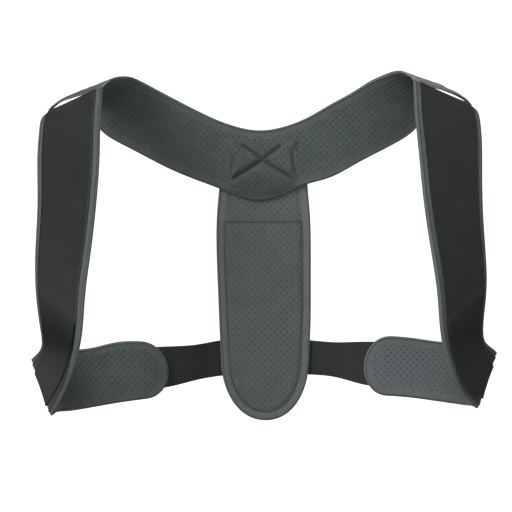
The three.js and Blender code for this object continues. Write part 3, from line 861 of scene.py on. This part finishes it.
def elastic_cloth(name, base, light):
    """Ribbed elastic: fine cords run along it, rubber ribs cross it."""
    k = Mat(name)
    uv = k.add("ShaderNodeUVMap", _uv_map="flat").outputs["UV"]
    ribs = k.add("ShaderNodeTexWave", _bands_direction="X", Scale=22.0, Distortion=0.3, Detail=1.0, Detail__Scale=2.0)
    cords = k.add("ShaderNodeTexWave", _bands_direction="Y", Scale=31.0, Distortion=0.25, Detail=1.0, Detail__Scale=2.0)
    k.link(uv, ribs.inputs["Vector"])
    k.link(uv, cords.inputs["Vector"])
    fuzz = k.add("ShaderNodeTexNoise", Scale=350.0, Detail=2.0, Roughness=0.6)
    k.link(uv, fuzz.inputs["Vector"])
    weave = k.math("MULTIPLY", k.math("ADD", ribs.outputs["Fac"], cords.outputs["Fac"]), 0.5)
    col = k.ramp(weave, [(0.2, base), (0.85, light)])
    # painted shade near the elastic's ends: a darker colour there, with less fuzz, sheen and specular
    end_shade = k.add("ShaderNodeAttribute", _attribute_name="end_shade_mask").outputs["Fac"]
    plain = k.math("SUBTRACT", 1.0, k.math("MINIMUM", end_shade, 1.0))
    col = k.mix(k.math("MULTIPLY", end_shade, 0.55), col, srgb(18, 19, 19))
    col = k.mix(k.math("MULTIPLY", fuzz.outputs["Fac"], k.math("MULTIPLY", plain, 0.25)), col, light)
    k.link(col, k.bsdf.inputs["Base Color"])
    k.bsdf.inputs["Roughness"].default_value = 0.8
    k.link(k.math("MULTIPLY", plain, 0.12), k.bsdf.inputs["Sheen Weight"])
    k.link(k.math("MULTIPLY", plain, 0.3), k.bsdf.inputs["Specular IOR Level"])
    h = k.math("ADD", weave, k.math("MULTIPLY", fuzz.outputs["Fac"], 0.3))
    k.link(k.bump(h, 0.5, 0.0003), k.bsdf.inputs["Normal"])
    return k.m


def thread(name, base, light):
    k = Mat(name)
    co = k.add("ShaderNodeTexCoord").outputs["Object"]
    twist = k.add("ShaderNodeTexNoise", Scale=2500.0, Detail=2.0)
    k.link(co, twist.inputs["Vector"])
    col = k.ramp(twist.outputs["Fac"], [(0.35, base), (0.7, light)])
    k.link(col, k.bsdf.inputs["Base Color"])
    k.bsdf.inputs["Roughness"].default_value = 0.65
    k.link(k.bump(twist.outputs["Fac"], 0.4, 0.0001), k.bsdf.inputs["Normal"])
    return k.m


GREY = grey_cloth("grey_padded_cloth", srgb(84, 93, 93), srgb(111, 116, 118), srgb(71, 82, 81))
# a lighter copy of the grey cloth for the spine pad: painted light, in place of more light falling on the pad
LIT_GREY_PAD = grey_cloth("grey_pad_cloth_lit", srgb(98, 108, 107), srgb(127, 131, 132), srgb(87, 98, 96), border=7.6, tint=0.34)
# darker grey for the walls and floors of the perforations: painted shade in the holes
HOLE = grey_cloth("perforation_wall_shade", srgb(58, 63, 64), srgb(70, 75, 76), srgb(48, 52, 53), sheen=0.0)
BLACK = black_cloth("black_outer_cloth", srgb(36, 38, 38), srgb(46, 47, 47))
ELASTIC = elastic_cloth("black_elastic", srgb(38, 40, 41), srgb(58, 60, 61))
THREAD_DARK = thread("dark_thread", srgb(30, 33, 34), srgb(48, 52, 53))
THREAD_BLACK = thread("black_thread", srgb(30, 31, 31), srgb(48, 49, 49))

# ---------------------------------------------------------------- camera, lights and stage
cam = bpy.data.cameras.new("camera")
cam.lens, cam.sensor_width, cam.sensor_fit = 101.95, 36.0, "HORIZONTAL"
cam.clip_start, cam.clip_end = 0.05, 30
cam_obj = bpy.data.objects.new("camera", cam)
cam_obj.location = (-0.0067, -1.392, -0.094)
cam_obj.rotation_euler = (math.pi / 2, 0, 0)
bpy.context.scene.collection.objects.link(cam_obj)
bpy.context.scene.camera = cam_obj
bpy.context.scene.view_settings.view_transform = "Standard"

world = bpy.data.worlds.new("studio")
world.use_nodes = True
world.node_tree.nodes["Background"].inputs[0].default_value = (1, 1, 1, 1)
world.node_tree.nodes["Background"].inputs[1].default_value = 0.12
bpy.context.scene.world = world


def area_light(name, at, target, size, power):
    light = bpy.data.lights.new(name, "AREA")
    light.shape, light.size, light.size_y, light.energy = "RECTANGLE", size[0], size[1], power
    o = bpy.data.objects.new(name, light)
    o.location = at
    o.rotation_euler = (Vector(target) - Vector(at)).to_track_quat("-Z", "Y").to_euler()
    bpy.context.scene.collection.objects.link(o)
    return o


area_light("key", (-1.3, -1.55, 0.95), (0, 0, -0.1), (1.0, 1.0), 30)
area_light("front", (0.1, -2.1, 0.15), (0, 0, -0.1), (1.3, 1.0), 15)
area_light("behind", (0.6, 1.7, 1.0), (0, 0, -0.05), (1.3, 1.0), 16)

# floor that curves up into the back wall
prof = [(-4.0, -0.8), (2.1, -0.8)]
for i in range(1, 13):
    a = i / 12 * math.pi / 2
    prof.append((2.1 + 0.9 * math.sin(a), -0.8 + 0.9 * (1 - math.cos(a))))
prof.append((3.0, 4.0))
V = [(x, y, z) for (y, z) in prof for x in (-5.0, 5.0)]
F = [(2 * i, 2 * i + 1, 2 * i + 3, 2 * i + 2) for i in range(len(prof) - 1)]
me = bpy.data.meshes.new("studio_floor")
me.from_pydata(V, [], F)
for poly in me.polygons:
    poly.use_smooth = True
floor = bpy.data.objects.new("studio_floor", me)
bpy.context.scene.collection.objects.link(floor)
k = Mat("pale_paper")
grain = k.add("ShaderNodeTexNoise", Scale=900.0, Detail=3.0)
k.link(k.ramp(grain.outputs["Fac"], [(0.3, srgb(248, 248, 248)), (0.7, srgb(253, 253, 253))]), k.bsdf.inputs["Base Color"])
k.bsdf.inputs["Roughness"].default_value = 0.95
k.bsdf.inputs["Emission Color"].default_value = (1, 1, 1, 1)
k.bsdf.inputs["Emission Strength"].default_value = 1.0
me.materials.append(k.m)
floor.visible_diffuse = floor.visible_glossy = floor.visible_shadow = False

bpy.ops.mesh.primitive_uv_sphere_add(segments=64, ring_count=32, radius=6.0, location=(0, 0, 0))
dome = bpy.context.object
dome.name = "studio_dome"
dome.data.materials.append(k.m)
dome.visible_diffuse = dome.visible_glossy = dome.visible_shadow = False

# ---------------------------------------------------------------- the bands
yoke = Band(YOKE, 1, "nape", (2.0, 0.7))
strap_r = Band(STRAP_RIGHT, -1, "back3")
strap_l = Band(STRAP_LEFT, 1, "back3")
spine = Band(SPINE_PAD, -1, "ribs1")


def rise(d, reach, start=0.0):
    return step01((d - start) / reach)


def foam(q, amp=0.1, shift=0.0):
    """Slow unevenness of the foam and short wrinkles of its cloth, mm."""
    return amp * (noise(q, 17.0, shift) + 0.5 * noise(q, 7.5, shift + 3))


# ---- yoke
X_CROSS = np.array([-0.6, -1.8])
X_ARMS = [smooth_path(p) for p in (
    [(-18.5, 11.6), (-9.6, 5.6), (-0.6, -1.8)],
    [(16.3, 11.1), (8.0, 5.2), (-0.6, -1.8)],
    [(-28.8, -19.3), (-14.8, -11.0), (-0.6, -1.8)],
    [(28.0, -19.1), (14.2, -10.8), (-0.6, -1.8)],
)]
X_SIDES = [smooth_path(p) for p in (
    [(-32.9, 6.8), (-29.6, 1.0), (-29.6, -8.0), (-31.6, -16.4)],
    [(28.6, 7.2), (29.9, -1.8), (30.2, -7.0), (31.8, -12.5)],
)]


def near_lines(q, lines):
    return np.min([distance(q, line, False) for line in lines], axis=0)


def x_relief(q):
    """Puffed triangles between the arms of the stitched cross, and the seams' grooves."""
    arm, side = near_lines(q, X_ARMS), near_lines(q, X_SIDES)
    r = q - X_CROSS
    ang = np.degrees(np.arctan2(r[:, 1], r[:, 0])) % 360
    # direction of the middle of each triangle, its half opening and how far it puffs
    amp = np.zeros(len(q))
    for mid, half, a in ((0, 34, 3.6), (180, 34, 3.6), (270, 60, 3.4), (90, 52, 0.9)):
        off = abs((ang - mid + 180) % 360 - 180)
        amp = np.maximum(amp, a * step01((half + 3 - off) / 8))
    away = np.minimum(arm, side * 1.15)
    bulge = np.sqrt(1 - (1 - np.clip(away / 9.5, 0, 1)) ** 2)
    fade = step01((35 - abs(q[:, 0] + 0.6)) / 6) * step01((q[:, 1] + 41) / 9) * step01((24 - q[:, 1]) / 12)
    groove = 2.1 * np.exp(-((arm / 2.2) ** 2)) + 1.3 * np.exp(-((side / 1.8) ** 2))
    return amp * bulge * fade - groove


def yoke_front(q, d, s, w):
    T = yoke.thick(s) / 2
    h = T * (0.82 + 0.18 * rise(d, 9.0)) + foam(q, 0.1) * rise(d, 8, 2)
    near = abs(q[:, 0]) < 60
    out = h.copy()
    out[near] += x_relief(q[near]) * rise(d[near], 8, 1.5)
    return out


def band_half(band, share=0.82):
    return lambda s, w: band.thick(s) / 2 * share


def plain_back(band, shift, line=None, deep=0.35):
    def f(q, d, s, w):
        h = band.thick(s) / 2 * (0.82 + 0.18 * rise(d, 9.0)) + foam(q, 0.1, shift) * rise(d, 8, 2)
        if line is not None:
            h = h - deep * np.exp(-((distance(q, line) / 1.1) ** 2))
        return h

    return f


grey_set = [GREY, BLACK, HOLE]
o_yoke = band_outline(yoke)
yoke_holes, yoke_free = lattice(o_yoke, BORDER, [(l, 2.6) for l in X_ARMS] + [(l, 2.2) for l in X_SIDES], origin=(-1.0, -2.0))
off_arm = near_lines(yoke_holes, X_ARMS)
low = (yoke_holes[:, 1] < -2) & (abs(yoke_holes[:, 0]) < 30) & (yoke_holes[:, 1] < X_CROSS[1] - 0.62 * abs(yoke_holes[:, 0] - X_CROSS[0]))
keep = ~((abs(yoke_holes[:, 0]) < 31) & (yoke_holes[:, 1] > -2) & (off_arm < 4.5)) & ~(low & (off_arm < 6.5))
yoke_holes = yoke_holes[keep]
extra = []
g = np.stack(np.meshgrid(np.arange(-40, 40, 1.1), np.arange(-42, 26, 1.1), indexing="ij"), -1).reshape(-1, 2)
g = g[inside(g, o_yoke)]
g = g[distance(g, o_yoke) > 3]
extra = g[near_lines(g, X_ARMS + X_SIDES) < 9]
yoke_line = resample(o_yoke - outward(o_yoke) * 5.2, 2.4)
# painted shade along the cross's grooves and side seams, and over the lower triangle under the cross
neck = pillow("yoke_padding", yoke, o_yoke, yoke_front, plain_back(yoke, 11, yoke_line), 1.7, band_half(yoke), grey_set, yoke_holes, yoke_free, extra=extra, back_mat=1, back_line=yoke_line, crease=lambda q: np.maximum(np.exp(-((near_lines(q, X_ARMS) / 1.45) ** 2)), np.maximum(0.25 * np.exp(-((near_lines(q, X_SIDES) / 1.4) ** 2)), 0.34 * step01((X_CROSS[1] - 2 - q[:, 1]) / 22) * step01((34 - abs(q[:, 0])) / 16))))
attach(neck, "root")
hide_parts("neck_yoke")

# ---- spine pad
o_pad = band_outline(spine, round_end=PAD_ROUND)
pad_line = resample(o_pad - outward(o_pad) * 8.2, 2.0)
POCKET_Z = -61.3
pocket = pad_line[pad_line[:, 1] < POCKET_Z]
start = np.argmax(np.linalg.norm(np.diff(np.vstack([pocket, pocket[:1]]), axis=0), axis=1))
pocket = np.roll(pocket, -(start + 1), axis=0)
pocket_x = (pocket[:, 0].min(), pocket[:, 0].max())
top_seam = np.array([(np.interp(POCKET_Z, [-300, 0], [0, 0]) + pocket[0, 0], POCKET_Z), (pocket[-1, 0], POCKET_Z)])
pocket = np.vstack([(pocket[0, 0], POCKET_Z), pocket, (pocket[-1, 0], POCKET_Z)])
pad_band_holes, pad_free = lattice(o_pad, BORDER + 1.6, [(pocket, 2.0), (top_seam, 2.2)], origin=(1.5, -61.3 + PITCH / 2))


def pad_front(q, d, s, w):
    T = 3.2
    seam = np.minimum(distance(q, pocket, False), distance(q, top_seam, False))
    h = T * (0.56 + 0.44 * rise(d, 5.0, 8.0))
    h = h + foam(q, 0.08, 5) * rise(d, 8, 2)
    return h - 1.05 * np.exp(-((seam / 1.15) ** 2)) * step01((q[:, 1] * -1 - 50) / 8)


def pad_back(q, d, s, w):
    return 3.2 * (0.56 + 0.44 * rise(d, 6.0, 6.5)) + foam(q, 0.12, 15) * rise(d, 8, 2)


g = np.stack(np.meshgrid(np.arange(-46, 48, 1.2), np.arange(-254, 8, 1.2), indexing="ij"), -1).reshape(-1, 2)
g = g[inside(g, o_pad)]
g = g[(distance(g, o_pad) > 2.5)]
extra = g[np.minimum(distance(g, pocket, False), distance(g, top_seam, False)) < 2.6]
pad_set = [LIT_GREY_PAD, BLACK, HOLE]
pad_edge = resample(o_pad - outward(o_pad) * 6.0, 2.4)
# painted shade along the pocket seam
back_pad = pillow("spine_padding", spine, o_pad, pad_front, pad_back, 1.6, lambda s, w: np.full(len(s), 1.75), pad_set, pad_band_holes, pad_free, extra=extra, back_mat=1, back_line=pad_edge, crease=lambda q: 0.7 * np.exp(-((np.minimum(distance(q, pocket, False), distance(q, top_seam, False)) / 0.9) ** 2)))
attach(back_pad, "root")
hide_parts("spine_pad")

# ---- straps
STRAP_OUTLINE, STRAP_BACK, FACE_OUTLINE = {}, {}, {}
for tag, band in (("right", strap_r), ("left", strap_l)):
    o = STRAP_OUTLINE[tag] = band_outline(band, round_end=STRAP_ROUND)
    holes, free = lattice(o, BORDER, origin=tuple(band.flat(np.array([band.where("back3")]), np.array([0.5]))[0]))
    face_line = None
    shift = 21 if tag == "right" else 33
    back = STRAP_BACK[tag] = plain_back(band, shift)

    def strap_front(q, d, s, w, band=band, shift=shift):
        return band.thick(s) / 2 * (0.82 + 0.18 * rise(d, 9.0)) + foam(q, 0.1, shift + 7) * rise(d, 8, 2)

    turn = float(band.flat(np.array([band.where("side2")]), np.array([0.5]))[0, 0])
    end = float(band.flat(np.array([band.where("back1")]), np.array([0.5]))[0, 0])

    # painted light: the left strap's under-arm part is painted lighter towards its end, in place of more light falling
    # on it
    def under_arm_nap(q, turn=turn, end=end):
        return 0.62 * step01((q[:, 0] - turn) / (end - turn))

    piece = pillow("strap_padding_" + tag, band, o, strap_front, back, 1.9, band_half(band, 0.9), grey_set, holes, free, nap=under_arm_nap if tag == "left" else None)
    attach(piece, "root")
    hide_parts("shoulder_strap_" + tag)

    # the light border on the lower edge narrows where the strap folds
    a0, a1, a2, a3 = (band.where(n) for n in ("waist", "turn3", "side1", "side3"))
    border_a = lambda s, a0=a0, a1=a1, a2=a2, a3=a3: FACING_FRONT - 2.6 * step01((s - a0) / (a1 - a0)) * (1 - step01((s - a2) / (a3 - a2)))
    fo = FACE_OUTLINE[tag] = band_outline(band, start=0.6, stop=band.length - FACING_END, inset_a=border_a, inset_b=FACING_SIDE, round_end=STRAP_ROUND - FACING_END, step=2.0)

    def on_strap(q, s, w, o=o, back=back):
        return back(q, distance(q, o), s, w) + 0.15 + 0.38

    def thin(q, d, s, w):
        return 0.42 + 0.05 * noise(q, 9.0, 40)

    face = pillow("outer_cloth_" + tag, band, fo, thin, thin, 0.45, lambda s, w: np.full(len(s), 0.36), [BLACK], lift=on_strap, base=3.0, fold=5, inner_loops=(1.6, 3.2))
    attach(face, "root")
    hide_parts("strap_facing_" + tag)
    flat_area = area2(fo)

# ---- elastic: on the outside of both folded straps, and across behind the spine pad
ACROSS = np.array([0, 0.015, 0.04, 0.09, 0.18, 0.3, 0.4, 0.5, 0.6, 0.7, 0.82, 0.91, 0.96, 0.985, 1])
ELASTIC_HALF = 0.62


def elastic_lines(band, outline, back):
    at = np.array([band.length - STRAP_ROUND * 0.5 if n == "end" else band.where(n) for n, _, _ in ELASTIC_ON_STRAP])
    lo, hi = spline(at, [r[1] for r in ELASTIC_ON_STRAP]), spline(at, [r[2] for r in ELASTIC_ON_STRAP])
    lines = []

    def line(s, lower, upper):
        w = lower + (upper - lower) * ACROSS
        s = np.broadcast_to(s, w.shape)
        q = band.flat(s, w)
        h = back(q, distance(q, outline), s, w)
        return band.point(s, w, h + 0.15 + 0.8 + 0.12 + ELASTIC_HALF)

    for k in np.linspace(1, 0, 12)[:-1]:
        lines.append(line(at[0] - k * (ELASTIC_END[0] + (ELASTIC_END[1] - ELASTIC_END[0]) * ACROSS), ELASTIC_ON_STRAP[0][1], ELASTIC_ON_STRAP[0][2]))
    n = int((at[-1] - at[0]) / 4)
    for s in np.linspace(at[0], at[-1], n):
        lines.append(line(s, float(lo(s)[0]), float(hi(s)[0])))
    return lines


el_r = elastic_lines(strap_r, STRAP_OUTLINE["right"], STRAP_BACK["right"])
el_l = elastic_lines(strap_l, STRAP_OUTLINE["left"], STRAP_BACK["left"])
behind = [np.array([(x, y, lo + (hi - lo) * k) for k in ACROSS]) for _, x, y, lo, hi in ELASTIC_BACK]
lines = np.array(el_r + behind + el_l[::-1])
mids = lines[:, len(ACROSS) // 2]
along = np.concatenate([[0], np.cumsum(np.linalg.norm(np.diff(mids, axis=0), axis=1))])
fine = spline(along, lines.reshape(len(lines), -1))
RIB = 1.5
count = int(along[-1] / (RIB / 4))
t_el = np.linspace(0, along[-1], count + 1)
grid = fine(t_el).reshape(count + 1, len(ACROSS), 3)
g_along = np.gradient(grid, axis=0)
g_across = np.gradient(grid, axis=1)
n_el = unit(np.cross(g_along, g_across))
if (n_el[count // 2, len(ACROSS) // 2] @ np.array([0, 1, 0])) < 0:
    n_el = -n_el
selvedge = np.minimum(ACROSS, 1 - ACROSS)
half = ELASTIC_HALF * (0.45 + 0.55 * np.sqrt(np.clip(selvedge / 0.02, 0, 1)))
half = half + 0.16 * np.exp(-((selvedge - 0.04) / 0.03) ** 2)
ripple = 0.11 * np.cos(2 * math.pi * t_el / RIB)[:, None] * step01(selvedge / 0.05)[None]
ends = step01(np.minimum(t_el, along[-1] - t_el) / 4.0)[:, None]
H = (half[None] + ripple) * (0.2 + 0.8 * ends)
grid = grid - n_el * ((1 - ends) * 0.62)[..., None]
flat_w = np.linalg.norm(grid[count // 2, -1] - grid[count // 2, 0])
V, F = skin(grid - n_el * H[..., None], grid + n_el * H[..., None])
uv = np.stack(np.broadcast_arrays(t_el[:, None], (ACROSS * flat_w)[None]), -1).reshape(-1, 2)
# painted shade over the first and last few cm of the elastic, stronger at the right strap's end
end_shade = 0.8 * np.exp(-(((t_el - 27) / 24) ** 2)) + 0.3 * np.exp(-(((along[-1] - t_el - 30) / 24) ** 2))
end_shade = np.repeat(end_shade, len(ACROSS))
webbing = make_object("elastic_webbing", V, F, [ELASTIC], attrs={"end_shade_mask": np.concatenate([end_shade, end_shade])}, uv=np.vstack([uv, uv]))
fix_normals(webbing)
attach(webbing, "root")
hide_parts("elastic_strap")
print("elastic", round(along[-1], 1), "mm long", round(flat_w, 1), "mm wide")

# ---- threads
STITCHES = []


def yoke_height(q, s, w):
    return yoke_front(q, distance(q, o_yoke), s, w)


STITCHES.append(stitches("cross_stitches", yoke, X_ARMS + X_SIDES, yoke_height, THREAD_DARK, pitch=2.9, length=2.1, r=0.3))


def pad_height(q, s, w):
    return pad_front(q, distance(q, o_pad), s, w)


STITCHES.append(stitches("pocket_stitches", spine, [pocket, top_seam], pad_height, THREAD_DARK, pitch=3.2, length=2.4, r=0.36))
for tag, band in (("right", strap_r), ("left", strap_l)):
    fo = FACE_OUTLINE[tag]
    row = fo - outward(fo) * 1.7
    row = np.vstack([row, row[:1]])

    def face_height(q, s, w, tag=tag):
        return STRAP_BACK[tag](q, distance(q, STRAP_OUTLINE[tag]), s, w) + 0.15 + 0.38 + 0.42

    STITCHES.append(stitches("cloth_stitches_" + tag, band, [row], face_height, THREAD_BLACK, pitch=3.0, length=2.2, r=0.22, proud=0.04, side=1))
for o in STITCHES:
    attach(o, "root")

bpy.context.view_layer.update()
